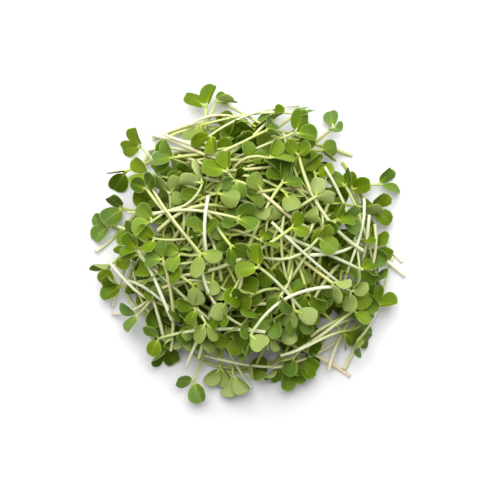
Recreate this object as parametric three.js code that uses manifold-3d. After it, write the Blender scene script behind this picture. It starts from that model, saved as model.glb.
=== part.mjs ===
// A loose heap of cut radish microgreens, lying as it falls when tipped out on a table.
// Each sprout is one pale stem, cut clean at the foot, that ends in two notched seed leaves.
// Millimetres, +Z up. The origin is on the table, under the middle of the heap.
import * as THREE from "three";
import { mergeVertices } from "three/addons/utils/BufferGeometryUtils.js";
import Module from "manifold-3d";

const HEAP = { radius: 70, height: 50, rimHeight: 5 };
const STEM = { radius: 0.85, steps: 5, contact: 0.92, samples: 36 };
const LEAF = {
  petiole: 1.3,
  halfLength: 4.9,
  halfWidth: 4,
  widerAtTip: 0.32,
  notchDepth: 0.1,
  notchHalfAngle: 22,
  cup: 0.03,
  thickness: 0.7,
  contact: 0.9,
  baseWidthToReach: 0.78,
  leastSpread: 38,
};
const OUTLINE_ANGLES = [145, 100, 60, 25, 0, -25, -60, -100, -145];
const CROWN = { crotch: 1.2, hook: 0.8 };
const SETTLE = { steps: 180, fall: 0.06, gap: 0.32, home: 0.06, loosened: 0.2, stiffness: 0.5, touch: 1.1 };
const TABLE = { pressed: 0.42, thickness: 20, width: 300 };
const CENTRE = { x: -0.8, y: -0.16 };
const BOTTOM_SPROUTS = 12;
const SEED = 20;
const SWAY = 4;
const SMALLEST_EDGE = 0.06;

const LEAF_GREEN = 0x5f8f2a;
const LEAF_ROUGHNESS = 0.55;

// The sprouts that can be told apart from above, in three lists. Each row holds the crown's x and y,
// the way that the pair of leaves points, half the angle between them, the pair's roll (0 face up,
// 90 on edge, 180 face down), the way from the crown to the cut foot, the stem's length, how far it
// bows to its left, and how deep its foot dives into the heap (0 on top, 1 at the bottom).
const ON_TOP = [
  [-35.5, 42.5, 150, 40, 10, 355, 51, 4, 0.4],
  [-17, 52.5, 240, 35, 0, 20, 46, 3, 0.7],
  [-9, 35, 130, 38, 0, 300, 46, 0, 0.8],
  [-5, 30.5, 238, 50, 15, 327, 42, -1, 0.05],
  [-21, 29.5, 130, 18, 165, 200, 40, 4, 0.2],
  [-47.5, 27.5, 112, 45, 10, 308, 45, 0, 0.25],
  [-20, 4.5, 93, 50, 0, 275, 44, 0, 0.9],
  [-21, -4.5, 308, 46, 180, 129, 42, 1, 0],
  [-4.5, 12, 5, 25, 5, 177, 42, -3, 0.1],
  [-52, -4.5, 145, 25, 20, 315, 45, 1, 0.1],
  [-52.5, -3, 160, 35, -20, 296, 38, 1, 0],
  [25.5, 43.5, 85, 45, 10, 304, 56, -6, 0],
  [10, 56, 0, 60, 65, 200, 42, 2, 0.2],
  [23, 55.5, 30, 38, 0, 205, 48, 0, 0.4],
  [17.5, 29.5, 40, 35, 5, 245, 51, -2, 0.3],
  [34, 23, 40, 40, 170, 215, 46, 0, 0.6],
  [43.5, 12, 40, 35, -15, 250, 48, 0, 0.5],
  [22, 7.5, 20, 35, 5, 207, 45, 2, 0],
  [49.5, 28, 108, 22, 25, 290, 52, 2, 0.4],
  [57, -10, 290, 35, 30, 112, 52, -3, 0],
  [6, -11, 138, 52, 5, 314, 40, 1, 0.15],
  [-7, -1, 300, 20, 5, 125, 44, 0, 0.3],
  [1.5, -41.5, 270, 66, 50, 125, 40, 6, 0],
  [3, -43, 280, 40, 120, 27, 52, 6, 0],
  [50.5, -22.5, 322, 52, 175, 139, 50, 1, 0],
  [54, -16.5, 5, 25, 60, 150, 42, -2, 0.1],
  [31.5, -34.5, 265, 35, 10, 105, 50, 4, 0.1],
  [24.5, -55, 215, 32, 30, 32, 38, 2, 0],
  [-42.5, -46.5, 185, 58, 30, 2, 52, 3, 0],
  [-53, -36, 190, 42, 0, 45, 51, 2, 0.4],
  [-26, -19.5, 330, 45, 180, 150, 42, -2, 0],
  [-10, -28, 175, 60, 170, 55, 46, 2, 0.4],
  [-40, -7, 135, 45, 20, 275, 45, 2, 0.15],
  [-19, -38.5, 280, 32, 180, 115, 48, 2, 0.5],
  [-23, -31, 200, 45, 0, 305, 46, 0, 0.7],
  [-61.5, -23, 170, 20, 10, 12, 40, 1, 0.1],
];
const BENEATH = [
  [-37, 41, 170, 45, 0, 340, 48, 2, 0.5],
  [-21.5, 56, 250, 40, 175, 10, 46, 2, 0.5],
  [-54, 3, 150, 40, 20, 330, 48, 0, 0.4],
  [-47.5, 33, 170, 35, 0, 350, 51, -2, 0.5],
  [-51.5, 16, 60, 30, 15, 250, 48, 0, 0.5],
  [-24.5, -3, 145, 40, 0, 320, 46, 2, 0.6],
  [24.5, 49.5, 335, 30, 10, 215, 46, -2, 0.5],
  [5, 53, 170, 35, 10, 350, 48, 2, 0.4],
  [37, 47.5, 340, 30, 50, 165, 48, 3, 0.5],
  [30.5, 7.5, 0, 40, 10, 200, 46, 0, 0.5],
  [3, 22, 345, 40, 170, 230, 51, 2, 0.5],
  [7.5, 35, 30, 35, 0, 220, 48, 0, 0.8],
  [18, -23, 80, 30, 10, 250, 46, 2, 0.6],
  [54, -29.5, 300, 25, 40, 110, 48, -2, 0.5],
  [47.5, -43.5, 300, 35, 60, 130, 48, 2, 0.4],
  [14, -34, 0, 40, 10, 180, 48, 2, 0.5],
  [5, -43, 290, 30, 0, 90, 51, 0, 0.6],
  [14, -43.5, 80, 40, 20, 330, 42, 2, 0.6],
  [-28.5, -9.5, 190, 35, 0, 10, 46, 2, 0.6],
  [-35, -27.5, 290, 30, 15, 100, 48, 0, 0.4],
  [-24.5, -39, 270, 35, 0, 70, 46, 3, 0.6],
  [-31.5, -43, 270, 20, 160, 80, 48, 0, 0.5],
  [-7.5, -44.5, 250, 45, 5, 30, 48, 2, 0.6],
  [-57, -4, 200, 40, 30, 10, 48, 2, 0.4],
];
const AT_THE_RIM = [
  [-20, 67.5, 112, 28, 0, 270, 50, 0, 0.5],
  [-14, 70.5, 8, 25, 70, 243, 46, 2, 0.5],
  [-52, 48, 148, 42, 45, 310, 52, 0, 0.4],
  [-58.5, 32.5, 210, 12, 60, 20, 46, 2, 0.5],
  [-61.5, 18, 178, 28, 15, 0, 49, -2, 0.4],
  [-67.5, 9.5, 188, 35, 0, 345, 46, -2, 0.6],
  [-56, 24, 60, 40, 30, 234, 36, 2, 0.8],
  [12, 62, 60, 65, 70, 255, 50, 2, 0.4],
  [25, 64.5, 20, 60, 75, 220, 48, -2, 0.4],
  [43, 57.5, 37, 70, 50, 217, 50, 2, 0.4],
  [66, 30, 15, 38, 15, 178, 50, 3, 0.5],
  [53.5, 27, 57, 42, 10, 285, 50, 2, 0.5],
  [57, 14.5, 15, 30, 70, 250, 46, 0, 0.4],
  [63.5, 3, 60, 60, 35, 195, 46, 4, 0.4],
  [63.5, -2, 305, 28, 5, 165, 46, -4, 0.6],
  [47, -2, 160, 35, 10, 335, 35, 2, 0.9],
  [64.5, -30, 45, 40, 0, 200, 48, 3, 0.4],
  [64, -18.5, 75, 15, 45, 250, 46, 2, 0.5],
  [54, -48.5, 290, 70, 60, 68, 46, -4, 0.4],
  [20, -63.5, 300, 43, 0, 110, 50, 2, 0.5],
  [16.5, -60, 240, 25, 50, 60, 46, 2, 0.5],
  [26, -56, 290, 30, 20, 100, 46, -2, 0.5],
  [51, -29, 30, 35, 10, 245, 42, -3, 0.9],
  [0, -61, 330, 25, 45, 130, 46, 2, 0.5],
  [-67.5, -10.5, 205, 50, 40, 25, 50, 2, 0.4],
  [-39.5, -50, 265, 30, 35, 80, 46, 2, 0.5],
  [-26.5, -67.5, 235, 57, 15, 60, 50, 2, 0.4],
  [-13, -61, 270, 25, 180, 85, 46, 0, 0.4],
  [-6.5, -65, 265, 22, 150, 75, 46, 2, 0.5],
  [-50, -40.5, 305, 20, 60, 60, 46, 2, 0.5],
  [2, 60, 30, 40, 20, 190, 50, -6, 0.2],
  [-9, 56, 75, 35, 15, 196, 44, -8, 0.3],
  [60, -4, 290, 35, 20, 105, 46, -5, 0.2],
  [-34, -51, 150, 38, 10, 350, 46, -7, 0.2],
  [36, -51, 10, 38, 15, 192, 46, 7, 0.2],
  [48, 18, 130, 35, 15, 322, 40, 1, 0.5],
];
const LAYERS = [
  { rows: ON_TOP, level: 1 },
  { rows: BENEATH, level: 0.72 },
  { rows: AT_THE_RIM, level: 0.4 },
];

const radians = THREE.MathUtils.degToRad;
const UP = new THREE.Vector3(0, 0, 1);

// Pseudo-random numbers from 0 to 1, the same on every run.
function randomFrom(seed) {
  let state = seed;
  return () => {
    state = (Math.imul(state, 1664525) + 1013904223) >>> 0;
    return state / 4294967296;
  };
}

// How high the top of the heap stands over a point of the table.
function heapHeight(x, y) {
  const inside = 1 - (x * x + y * y) / (HEAP.radius * HEAP.radius);
  return HEAP.height * Math.pow(Math.max(inside, 0), 0.6);
}

// A sprout from one row: four control points of the stem's curve, from foot to crown, and the two
// leaves' frames. A stem follows the heap's top, and its foot dives below it. Leaves that point nearly
// the same way are twisted to face each other, so that they pass without crossing.
function sproutFrom(row, level, random) {
  const [x, y, heading, halfSpread, roll, stemTo, length, bow, dive] = row;
  const sway = (2 * random() - 1) * SWAY * (0.3 + dive);
  const away = new THREE.Vector2(Math.cos(radians(stemTo)), Math.sin(radians(stemTo)));
  const ahead = new THREE.Vector2(Math.cos(radians(heading)), Math.sin(radians(heading)));
  const hook = CROWN.hook * Math.max(0, 0.5 + away.dot(ahead));
  const control = [3, 2, 1, 0].map((third) => {
    const reach = (length * third) / 3;
    const aside = [0, (bow * 4) / 3 + sway, (bow * 4) / 3 - sway, 0][third];
    const back = third === 1 ? hook * reach : 0;
    const px = x + away.x * reach - away.y * aside - ahead.x * back;
    const py = y + away.y * reach + away.x * aside - ahead.y * back;
    const sunk = 1 - 0.75 * dive * (third / 3);
    const rim = HEAP.rimHeight * (1 - third / 6);
    return new THREE.Vector3(px, py, Math.max(rim, heapHeight(px, py) * level * sunk));
  });
  const pitch = radians(-15 + 35 * random());
  const fold = radians(30 * random());
  const size = 0.88 + 0.26 * random();
  const spread = radians(Math.max(halfSpread, LEAF.leastSpread));
  const clear = Math.min((Math.tan(spread) - 0.1) / LEAF.baseWidthToReach, 1);
  const twist = Math.max(Math.acos(clear), radians(35 * random()));
  const lift = Math.sin(pitch);
  const h = new THREE.Vector3(
    Math.cos(radians(heading)) * Math.cos(pitch),
    Math.sin(radians(heading)) * Math.cos(pitch),
    lift,
  );
  const level0 = UP.clone().addScaledVector(h, -lift).normalize();
  const side0 = new THREE.Vector3().crossVectors(level0, h);
  const normal = level0.multiplyScalar(Math.cos(radians(roll)));
  normal.addScaledVector(side0, Math.sin(radians(roll)));
  const left = new THREE.Vector3().crossVectors(normal, h);
  const leaves = [1, -1].map((hand) => {
    const out = left.clone().multiplyScalar(hand * Math.cos(fold));
    out.addScaledVector(normal, Math.sin(fold));
    const along = h.clone().multiplyScalar(Math.cos(spread));
    along.addScaledVector(out, Math.sin(spread));
    const flat = normal.clone().multiplyScalar(Math.cos(fold));
    flat.addScaledVector(left, -hand * Math.sin(fold));
    const across = new THREE.Vector3().crossVectors(flat, along);
    const face = flat.clone().multiplyScalar(Math.cos(twist));
    face.addScaledVector(across, -hand * Math.sin(twist));
    across.multiplyScalar(Math.cos(twist)).addScaledVector(flat, hand * Math.sin(twist));
    return { along, face, across };
  });
  return { control, leaves, heading: h, size };
}

// The hidden sprouts that the others lie on: spread evenly by the golden angle, pointing outwards.
function bottomRow(index, random) {
  const turn = (index * 137.508) % 360;
  const out = 14 + 36 * Math.sqrt((index + 0.5) / BOTTOM_SPROUTS);
  const heading = turn - 60 + 120 * random();
  const stemTo = heading + 150 + 60 * random();
  return [
    out * Math.cos(radians(turn)),
    out * Math.sin(radians(turn)),
    heading,
    30 + 25 * random(),
    -30 + 60 * random(),
    stemTo,
    36 + 10 * random(),
    -4 + 8 * random(),
    0.5,
  ];
}

function drawSprouts() {
  const random = randomFrom(SEED);
  const sprouts = [];
  for (const { rows, level } of LAYERS)
    for (const row of rows) sprouts.push(sproutFrom(row, level, random));
  for (let index = 0; index < BOTTOM_SPROUTS; index++) {
    const row = bottomRow(index, random);
    sprouts.push(sproutFrom(row, 0.15 + 0.45 * random(), random));
  }
  return sprouts;
}

// Bernstein weights of the four control points at a share t of the stem's curve.
function stemWeights(t) {
  const u = 1 - t;
  return [u * u * u, 3 * u * u * t, 3 * u * t * t, t * t * t];
}

// The blade's outline at an angle about its middle, as distances along and across the leaf.
function outlineAt(degrees, share, size) {
  const angle = radians(degrees);
  const notch = LEAF.notchDepth * Math.exp(-Math.pow(degrees / LEAF.notchHalfAngle, 2));
  const along = LEAF.halfLength * Math.cos(angle) * (1 - notch);
  const across = LEAF.halfWidth * Math.sin(angle) * (1 + LEAF.widerAtTip * Math.cos(angle));
  return [(LEAF.petiole + LEAF.halfLength + along * share) * size, across * share * size];
}

// Where the stems and leaves can touch: balls down each stem and over each blade. A ball on the stem
// moves the control points by their weights, and one on a leaf moves the crown and the neck under it.
const STEM_BALLS = Array.from({ length: STEM.samples }, (_, i) => stemWeights(i / (STEM.samples - 1)));
const LEAF_BALLS = [[0, 0]]
  .concat([0, 60, 120, 180, 240, 300].map((a) => [a, 0.5]))
  .concat([0, 40, 80, 120, 160, 200, 240, 280, 320].map((a) => [a, 0.9]));
const CROWN_WEIGHTS = [0, 0, 0.5, 1];

function ballsOf(sprout, owner) {
  const balls = STEM_BALLS.map((weights) => {
    const at = new THREE.Vector3();
    weights.forEach((w, k) => at.addScaledVector(sprout.control[k], w));
    return { owner, at, weights, radius: STEM.contact, stem: true };
  });
  for (const leaf of sprout.leaves)
    for (const [angle, share] of LEAF_BALLS) {
      const signed = angle > 180 ? angle - 360 : angle;
      const [along, across] = outlineAt(signed, share, sprout.size);
      const at = sprout.control[3].clone();
      at.addScaledVector(leaf.along, along).addScaledVector(leaf.across, across);
      balls.push({ owner, at, weights: CROWN_WEIGHTS, radius: LEAF.contact, stem: false });
    }
  return balls;
}

// Pushes on the balls, each sprout's own weighed up over its control points.
function pushApart(sprouts, joined) {
  const balls = sprouts.flatMap(ballsOf);
  const sums = sprouts.map(() => [0, 1, 2, 3].map(() => ({ push: new THREE.Vector3(), weight: 0 })));
  const add = (ball, push) => {
    ball.weights.forEach((w, k) => {
      sums[ball.owner][k].push.addScaledVector(push, w);
      sums[ball.owner][k].weight += w;
    });
  };
  const cell = 2 * STEM.contact + SETTLE.gap;
  const cells = new Map();
  const keyOf = (i, j, k) => (i + 512) * 1048576 + (j + 512) * 1024 + (k + 512);
  balls.forEach((ball) => {
    ball.cell = [Math.floor(ball.at.x / cell), Math.floor(ball.at.y / cell), Math.floor(ball.at.z / cell)];
    const key = keyOf(...ball.cell);
    if (!cells.has(key)) cells.set(key, []);
    cells.get(key).push(ball);
  });
  const apart = new THREE.Vector3();
  for (const ball of balls) {
    const [i, j, k] = ball.cell;
    for (let di = -1; di <= 1; di++)
      for (let dj = -1; dj <= 1; dj++)
        for (let dk = -1; dk <= 1; dk++)
          for (const other of cells.get(keyOf(i + di, j + dj, k + dk)) ?? []) {
            if (other.owner === ball.owner || joined[ball.owner] === other.owner) continue;
            apart.subVectors(ball.at, other.at);
            const distance = apart.length();
            const short = ball.radius + other.radius + SETTLE.gap - distance;
            if (short <= 0) continue;
            add(ball, apart.multiplyScalar((0.5 * short) / distance));
          }
    const under = ball.radius - TABLE.pressed - ball.at.z;
    if (under > 0) add(ball, apart.set(0, 0, under));
  }
  sprouts.forEach((sprout, owner) =>
    sums[owner].forEach(({ push, weight }, k) => {
      if (weight > 0) sprout.control[k].addScaledVector(push, 1.6 / Math.max(weight, 1));
    }),
  );
}

// Keeps each stem its length and its curve, but for a little give: it is a springy rod.
const SPANS = [
  [0, 1],
  [1, 2],
  [2, 3],
  [0, 2],
  [1, 3],
  [0, 3],
];
function keepShape(sprout) {
  sprout.spans ??= SPANS.map(([a, b]) => sprout.control[a].distanceTo(sprout.control[b]));
  SPANS.forEach(([a, b], n) => {
    const between = sprout.control[b].clone().sub(sprout.control[a]);
    const now = between.length();
    between.multiplyScalar((0.5 * SETTLE.stiffness * (now - sprout.spans[n])) / now);
    sprout.control[a].add(between);
    sprout.control[b].sub(between);
  });
}

// The two points where a pair of stems comes closest.
function closest(one, other) {
  let best = { distance: Infinity };
  const points = [one, other].map((sprout) =>
    STEM_BALLS.map((weights) => {
      const at = new THREE.Vector3();
      weights.forEach((w, k) => at.addScaledVector(sprout.control[k], w));
      return at;
    }),
  );
  points[0].forEach((p, i) =>
    points[1].forEach((q, j) => {
      const distance = p.distanceTo(q);
      if (distance < best.distance) best = { distance, i, j, p, q };
    }),
  );
  return best;
}

// Bends a pair of stems until they press on each other where they cross.
function bringTogether(one, other) {
  const { distance, i, j, p, q } = closest(one, other);
  const pull = q.clone().sub(p).multiplyScalar((0.5 * (distance - SETTLE.touch)) / distance);
  [
    [one, i, 1],
    [other, j, -1],
  ].forEach(([sprout, ball, sign]) => {
    const weights = STEM_BALLS[ball];
    const square = weights.reduce((sum, w) => sum + w * w, 0);
    weights.forEach((w, k) => sprout.control[k].addScaledVector(pull, (sign * w) / square));
  });
}

// Each sprout's partner: the nearest stem that has none yet.
function pairUp(sprouts) {
  const partner = sprouts.map(() => -1);
  sprouts.forEach((sprout, a) => {
    if (partner[a] >= 0) return;
    let best = { distance: Infinity, b: -1 };
    sprouts.forEach((other, b) => {
      if (b <= a || partner[b] >= 0) return;
      const { distance } = closest(sprout, other);
      if (distance < best.distance) best = { distance, b };
    });
    if (best.b < 0) return;
    partner[a] = best.b;
    partner[best.b] = a;
  });
  return partner;
}

// Lets the heap settle: the sprouts sink, push each other and the table away, and spring back.
function settle(sprouts, partner) {
  const drawn = sprouts.map((sprout) => sprout.control.map((c) => c.clone()));
  for (let step = 0; step < SETTLE.steps; step++) {
    const ease = step < SETTLE.steps * 0.6 ? 1 : SETTLE.loosened;
    pushApart(sprouts, partner);
    sprouts.forEach((sprout, a) => {
      sprout.control.forEach((c, k) => {
        c.x += ease * SETTLE.home * (drawn[a][k].x - c.x);
        c.y += ease * SETTLE.home * (drawn[a][k].y - c.y);
        c.z -= ease * SETTLE.fall;
      });
      keepShape(sprout);
    });
    partner.forEach((b, a) => {
      if (a < b) bringTogether(sprouts[a], sprouts[b]);
    });
  }
}

// The square rings of the stem's skin from foot to crown. The last one is turned to the leaves.
function stemRings(sprout) {
  const curve = new THREE.CubicBezierCurve3(...sprout.control);
  const faces = sprout.leaves[0].face.clone().add(sprout.leaves[1].face);
  const rings = [];
  let normal = faces;
  for (let step = STEM.steps; step >= 0; step--) {
    const share = step / STEM.steps;
    const tangent = curve.getTangent(share);
    if (step === STEM.steps) tangent.add(sprout.heading).normalize();
    normal = normal.clone().addScaledVector(tangent, -normal.dot(tangent)).normalize();
    const side = new THREE.Vector3().crossVectors(normal, tangent);
    const half = (STEM.radius * (1.1 - 0.2 * share)) / Math.SQRT2;
    rings.unshift(
      [
        [1, 1],
        [1, -1],
        [-1, -1],
        [-1, 1],
      ].map(([a, b]) =>
        curve
          .getPoint(share)
          .addScaledVector(side, half * a)
          .addScaledVector(normal, half * b),
      ),
    );
  }
  return rings;
}

// A whole sprout as one closed skin: the stem's rings, then both leaves growing from the last ring.
function sproutGeometry(sprout) {
  const points = [];
  const faces = [];
  const addPoint = (at) => points.push(at) - 1;
  const rings = stemRings(sprout).map((ring) => ring.map(addPoint));
  const foot = rings[0];
  const sides = foot.length;
  faces.push(foot[0], foot[1], foot[2], foot[0], foot[2], foot[3]);
  for (let r = 0; r + 1 < rings.length; r++)
    for (let side = 0; side < sides; side++) {
      const next = (side + 1) % sides;
      const [a, b, c, d] = [rings[r][side], rings[r][next], rings[r + 1][next], rings[r + 1][side]];
      faces.push(a, d, c, a, c, b);
    }

  const crown = sprout.control[3];
  const half = LEAF.thickness / 2;
  const addPair = (at, face) => {
    const top = addPoint(at.clone().addScaledVector(face, half));
    return [top, addPoint(at.clone().addScaledVector(face, -half))];
  };
  const addFace = (a, b, c) => faces.push(a[0], b[0], c[0], a[1], c[1], b[1]);
  const addEdge = (a, b) => faces.push(a[0], b[0], b[1], a[0], b[1], a[1]);
  const last = rings[rings.length - 1];
  const heels = [
    [last[0], last[1]],
    [last[3], last[2]],
  ];
  const meanFace = sprout.leaves[0].face.clone().add(sprout.leaves[1].face).normalize();
  const crotch = addPair(crown.clone().addScaledVector(sprout.heading, CROWN.crotch), meanFace);
  addFace(heels[1], crotch, heels[0]);
  sprout.leaves.forEach((leaf, hand) => {
    const place = (along, across) => {
      const at = crown.clone().addScaledVector(leaf.along, along).addScaledVector(leaf.across, across);
      return addPair(at.addScaledVector(leaf.face, LEAF.cup * across * across), leaf.face);
    };
    const middle = place((LEAF.petiole + LEAF.halfLength) * sprout.size, 0);
    const rim = OUTLINE_ANGLES.map((angle) => place(...outlineAt(angle, 1, sprout.size)));
    const loop = hand === 0 ? [heels[0], ...rim, crotch] : [crotch, ...rim, heels[1]];
    for (let n = 0; n + 1 < loop.length; n++) {
      addFace(middle, loop[n + 1], loop[n]);
      addEdge(loop[n], loop[n + 1]);
    }
    addFace(middle, loop[0], loop[loop.length - 1]);
  });
  return new THREE.BufferGeometry().setFromPoints(points).setIndex(faces);
}

const wasm = await Module();
wasm.setup();

function solidOf(geometry) {
  const bare = mergeVertices(geometry, 1e-4);
  return new wasm.Manifold(
    new wasm.Mesh({
      numProp: 3,
      vertProperties: new Float32Array(bare.attributes.position.array),
      triVerts: new Uint32Array(bare.index.array),
    }),
  );
}

function meshOf(solid, name, material) {
  const made = solid.getMesh();
  const geometry = new THREE.BufferGeometry();
  geometry.setAttribute("position", new THREE.BufferAttribute(made.vertProperties.slice(), 3));
  geometry.setIndex(new THREE.BufferAttribute(made.triVerts.slice(), 1));
  geometry.computeVertexNormals();
  const mesh = new THREE.Mesh(geometry, material);
  mesh.name = name;
  return mesh;
}

// Sprouts that touch become one body: the pairs, and any others that still run into each other.
function clumpsOf(solids, partner) {
  const clump = solids.map((_, a) => a);
  const rootOf = (a) => (clump[a] === a ? a : rootOf(clump[a]));
  const boxes = solids.map((solid) => {
    const { min, max } = solid.boundingBox();
    return new THREE.Box3(new THREE.Vector3(...min), new THREE.Vector3(...max));
  });
  solids.forEach((solid, a) => {
    for (let b = a + 1; b < solids.length; b++) {
      if (rootOf(a) === rootOf(b) || !boxes[a].intersectsBox(boxes[b])) continue;
      if (solid.intersect(solids[b]).volume() > 0) clump[rootOf(b)] = rootOf(a);
    }
  });
  const members = new Map();
  solids.forEach((_, a) => {
    const root = rootOf(a);
    members.set(root, [...(members.get(root) ?? []), a]);
  });
  return [...members.values()];
}

const sprouts = drawSprouts();
const partner = pairUp(sprouts);
settle(sprouts, partner);
const solids = sprouts.map((sprout) => solidOf(sproutGeometry(sprout)));
const tableGeometry = new THREE.BoxGeometry(TABLE.width, TABLE.width, TABLE.thickness);
tableGeometry.deleteAttribute("normal");
tableGeometry.deleteAttribute("uv");
const table = solidOf(tableGeometry.translate(0, 0, -TABLE.thickness / 2));

const leafMaterial = new THREE.MeshStandardMaterial({
  color: LEAF_GREEN,
  roughness: LEAF_ROUGHNESS,
  metalness: 0,
});
const heap = new THREE.Group();
clumpsOf(solids, partner).forEach((members, index) => {
  const joined = members.map((a) => solids[a]).reduce((all, solid) => all.add(solid));
  const name = "sprouts_" + String(index + 1).padStart(2, "0");
  const resting = joined.subtract(table).simplify(SMALLEST_EDGE);
  heap.add(meshOf(resting.translate(CENTRE.x, CENTRE.y, 0), name, leafMaterial));
});

export default heap;
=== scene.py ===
"""A loose heap of cut radish microgreens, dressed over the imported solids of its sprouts.

The sprouts that the solids stand for are drawn and settled here by the same rule, from the same
values, and given finer stems and leaves. More sprouts are then settled into the gaps between them.
Lengths are in millimetres until a mesh is made; the frame is in metres.
"""
import copy
import math

import bpy
import numpy as np
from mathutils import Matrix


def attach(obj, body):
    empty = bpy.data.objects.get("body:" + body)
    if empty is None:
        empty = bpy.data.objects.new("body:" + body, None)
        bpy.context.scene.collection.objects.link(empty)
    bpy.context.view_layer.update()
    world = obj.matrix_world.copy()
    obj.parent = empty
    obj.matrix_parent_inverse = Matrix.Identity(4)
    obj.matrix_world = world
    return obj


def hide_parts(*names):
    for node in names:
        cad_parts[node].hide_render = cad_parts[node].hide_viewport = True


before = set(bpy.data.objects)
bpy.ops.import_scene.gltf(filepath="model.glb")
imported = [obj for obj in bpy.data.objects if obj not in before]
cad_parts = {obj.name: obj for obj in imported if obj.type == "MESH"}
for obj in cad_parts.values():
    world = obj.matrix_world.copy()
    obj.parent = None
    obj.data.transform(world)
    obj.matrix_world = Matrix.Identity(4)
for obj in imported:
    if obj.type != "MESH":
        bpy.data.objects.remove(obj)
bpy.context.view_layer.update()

# A millimetre in metres, and the angle in degrees by which turns are spread evenly.
MM = 0.001
GOLDEN_ANGLE = 137.508

# The heap: a low mound over the table, how far its stems sway, and where its middle is in the frame.
HEAP_RADIUS = 70
HEAP_HEIGHT = 50
MOUND_POWER = 0.6
RIM_HEIGHT = 5
BOTTOM_SPROUTS = 12
SEED = 20
SWAY = 4
CENTRE = np.array([-0.8, -0.16, 0.0])

# One sprout, in millimetres and degrees, before its own small differences.
STEM_RADIUS = 0.85
PETIOLE = 1.3
HALF_LENGTH = 4.9
HALF_WIDTH = 4
WIDER_AT_TIP = 0.32
NOTCH_DEPTH = 0.1
NOTCH_HALF_ANGLE = 22
BASE_WIDTH_TO_REACH = 0.78
LEAST_SPREAD = 38
HOOK = 0.8

# How sprouts differ: a pitch and a size from the least over a range, the most that leaves are folded and
# twisted, and the share of its height that a stem loses where it dives all the way.
PITCH_FROM = -15
PITCH_RANGE = 35
SIZE_FROM = 0.88
SIZE_RANGE = 0.26
MOST_FOLD = 30
MOST_TWIST = 35
DIVE_DEPTH = 0.75

# How the sprouts settle: the radii within which they touch, and how firmly they move and hold shape.
STEM_CONTACT = 0.92
LEAF_CONTACT = 0.9
BALLS_ON_STEM = 36
SETTLE_STEPS = 180
FIRM_SHARE = 0.6
PUSH = 1.6
FALL = 0.06
GAP = 0.32
HOME = 0.06
LOOSENED = 0.2
STIFFNESS = 0.5
TOUCH = 1.1
PRESSED = 0.42

# The sprouts between and behind the others, which only the looks hold.
INNER_SPROUTS = 176
STRAY_SPROUTS = 32
INNER_SEED = 7
INNER_STEPS = 110
INNER_PIECES = 6
INNER_REACH = 48
STRAY_REACH = 44
STRAY_SHIFT = 20
UNDERSIDE_SHARE = 0.33

# The seeds of the leaves' forms and of the tints, and how much leaves differ in shade: about a middle,
# from sprout to sprout, and between the two of a pair.
FORM_SEED = 11
TINT_SEED = 12
MIDDLE_SHADE = 0.42
SHADE_SPREAD = 0.25
SHADE_SPREAD_IN_PAIR = 0.08

# Painted shade, for places shut in by what lies over them: it starts at this share of the mound's
# height, and is full this many millimetres below it.
PAINTED_SHADE_FROM = 0.95
PAINTED_SHADE_DEPTH = 15

# The sprouts that can be told apart from above. Each row holds the crown's x and y, the way that the
# pair of leaves points, half the angle between them, the pair's roll (0 face up, 90 on edge, 180 face
# down), the way from the crown to the cut foot, the stem's length, how far it bows to its left, and
# how deep its foot dives into the heap (0 on top, 1 at the bottom).
ON_TOP = [
    (-35.5, 42.5, 150, 40, 10, 355, 51, 4, 0.4),
    (-17, 52.5, 240, 35, 0, 20, 46, 3, 0.7),
    (-9, 35, 130, 38, 0, 300, 46, 0, 0.8),
    (-5, 30.5, 238, 50, 15, 327, 42, -1, 0.05),
    (-21, 29.5, 130, 18, 165, 200, 40, 4, 0.2),
    (-47.5, 27.5, 112, 45, 10, 308, 45, 0, 0.25),
    (-20, 4.5, 93, 50, 0, 275, 44, 0, 0.9),
    (-21, -4.5, 308, 46, 180, 129, 42, 1, 0),
    (-4.5, 12, 5, 25, 5, 177, 42, -3, 0.1),
    (-52, -4.5, 145, 25, 20, 315, 45, 1, 0.1),
    (-52.5, -3, 160, 35, -20, 296, 38, 1, 0),
    (25.5, 43.5, 85, 45, 10, 304, 56, -6, 0),
    (10, 56, 0, 60, 65, 200, 42, 2, 0.2),
    (23, 55.5, 30, 38, 0, 205, 48, 0, 0.4),
    (17.5, 29.5, 40, 35, 5, 245, 51, -2, 0.3),
    (34, 23, 40, 40, 170, 215, 46, 0, 0.6),
    (43.5, 12, 40, 35, -15, 250, 48, 0, 0.5),
    (22, 7.5, 20, 35, 5, 207, 45, 2, 0),
    (49.5, 28, 108, 22, 25, 290, 52, 2, 0.4),
    (57, -10, 290, 35, 30, 112, 52, -3, 0),
    (6, -11, 138, 52, 5, 314, 40, 1, 0.15),
    (-7, -1, 300, 20, 5, 125, 44, 0, 0.3),
    (1.5, -41.5, 270, 66, 50, 125, 40, 6, 0),
    (3, -43, 280, 40, 120, 27, 52, 6, 0),
    (50.5, -22.5, 322, 52, 175, 139, 50, 1, 0),
    (54, -16.5, 5, 25, 60, 150, 42, -2, 0.1),
    (31.5, -34.5, 265, 35, 10, 105, 50, 4, 0.1),
    (24.5, -55, 215, 32, 30, 32, 38, 2, 0),
    (-42.5, -46.5, 185, 58, 30, 2, 52, 3, 0),
    (-53, -36, 190, 42, 0, 45, 51, 2, 0.4),
    (-26, -19.5, 330, 45, 180, 150, 42, -2, 0),
    (-10, -28, 175, 60, 170, 55, 46, 2, 0.4),
    (-40, -7, 135, 45, 20, 275, 45, 2, 0.15),
    (-19, -38.5, 280, 32, 180, 115, 48, 2, 0.5),
    (-23, -31, 200, 45, 0, 305, 46, 0, 0.7),
    (-61.5, -23, 170, 20, 10, 12, 40, 1, 0.1),
]
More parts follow.
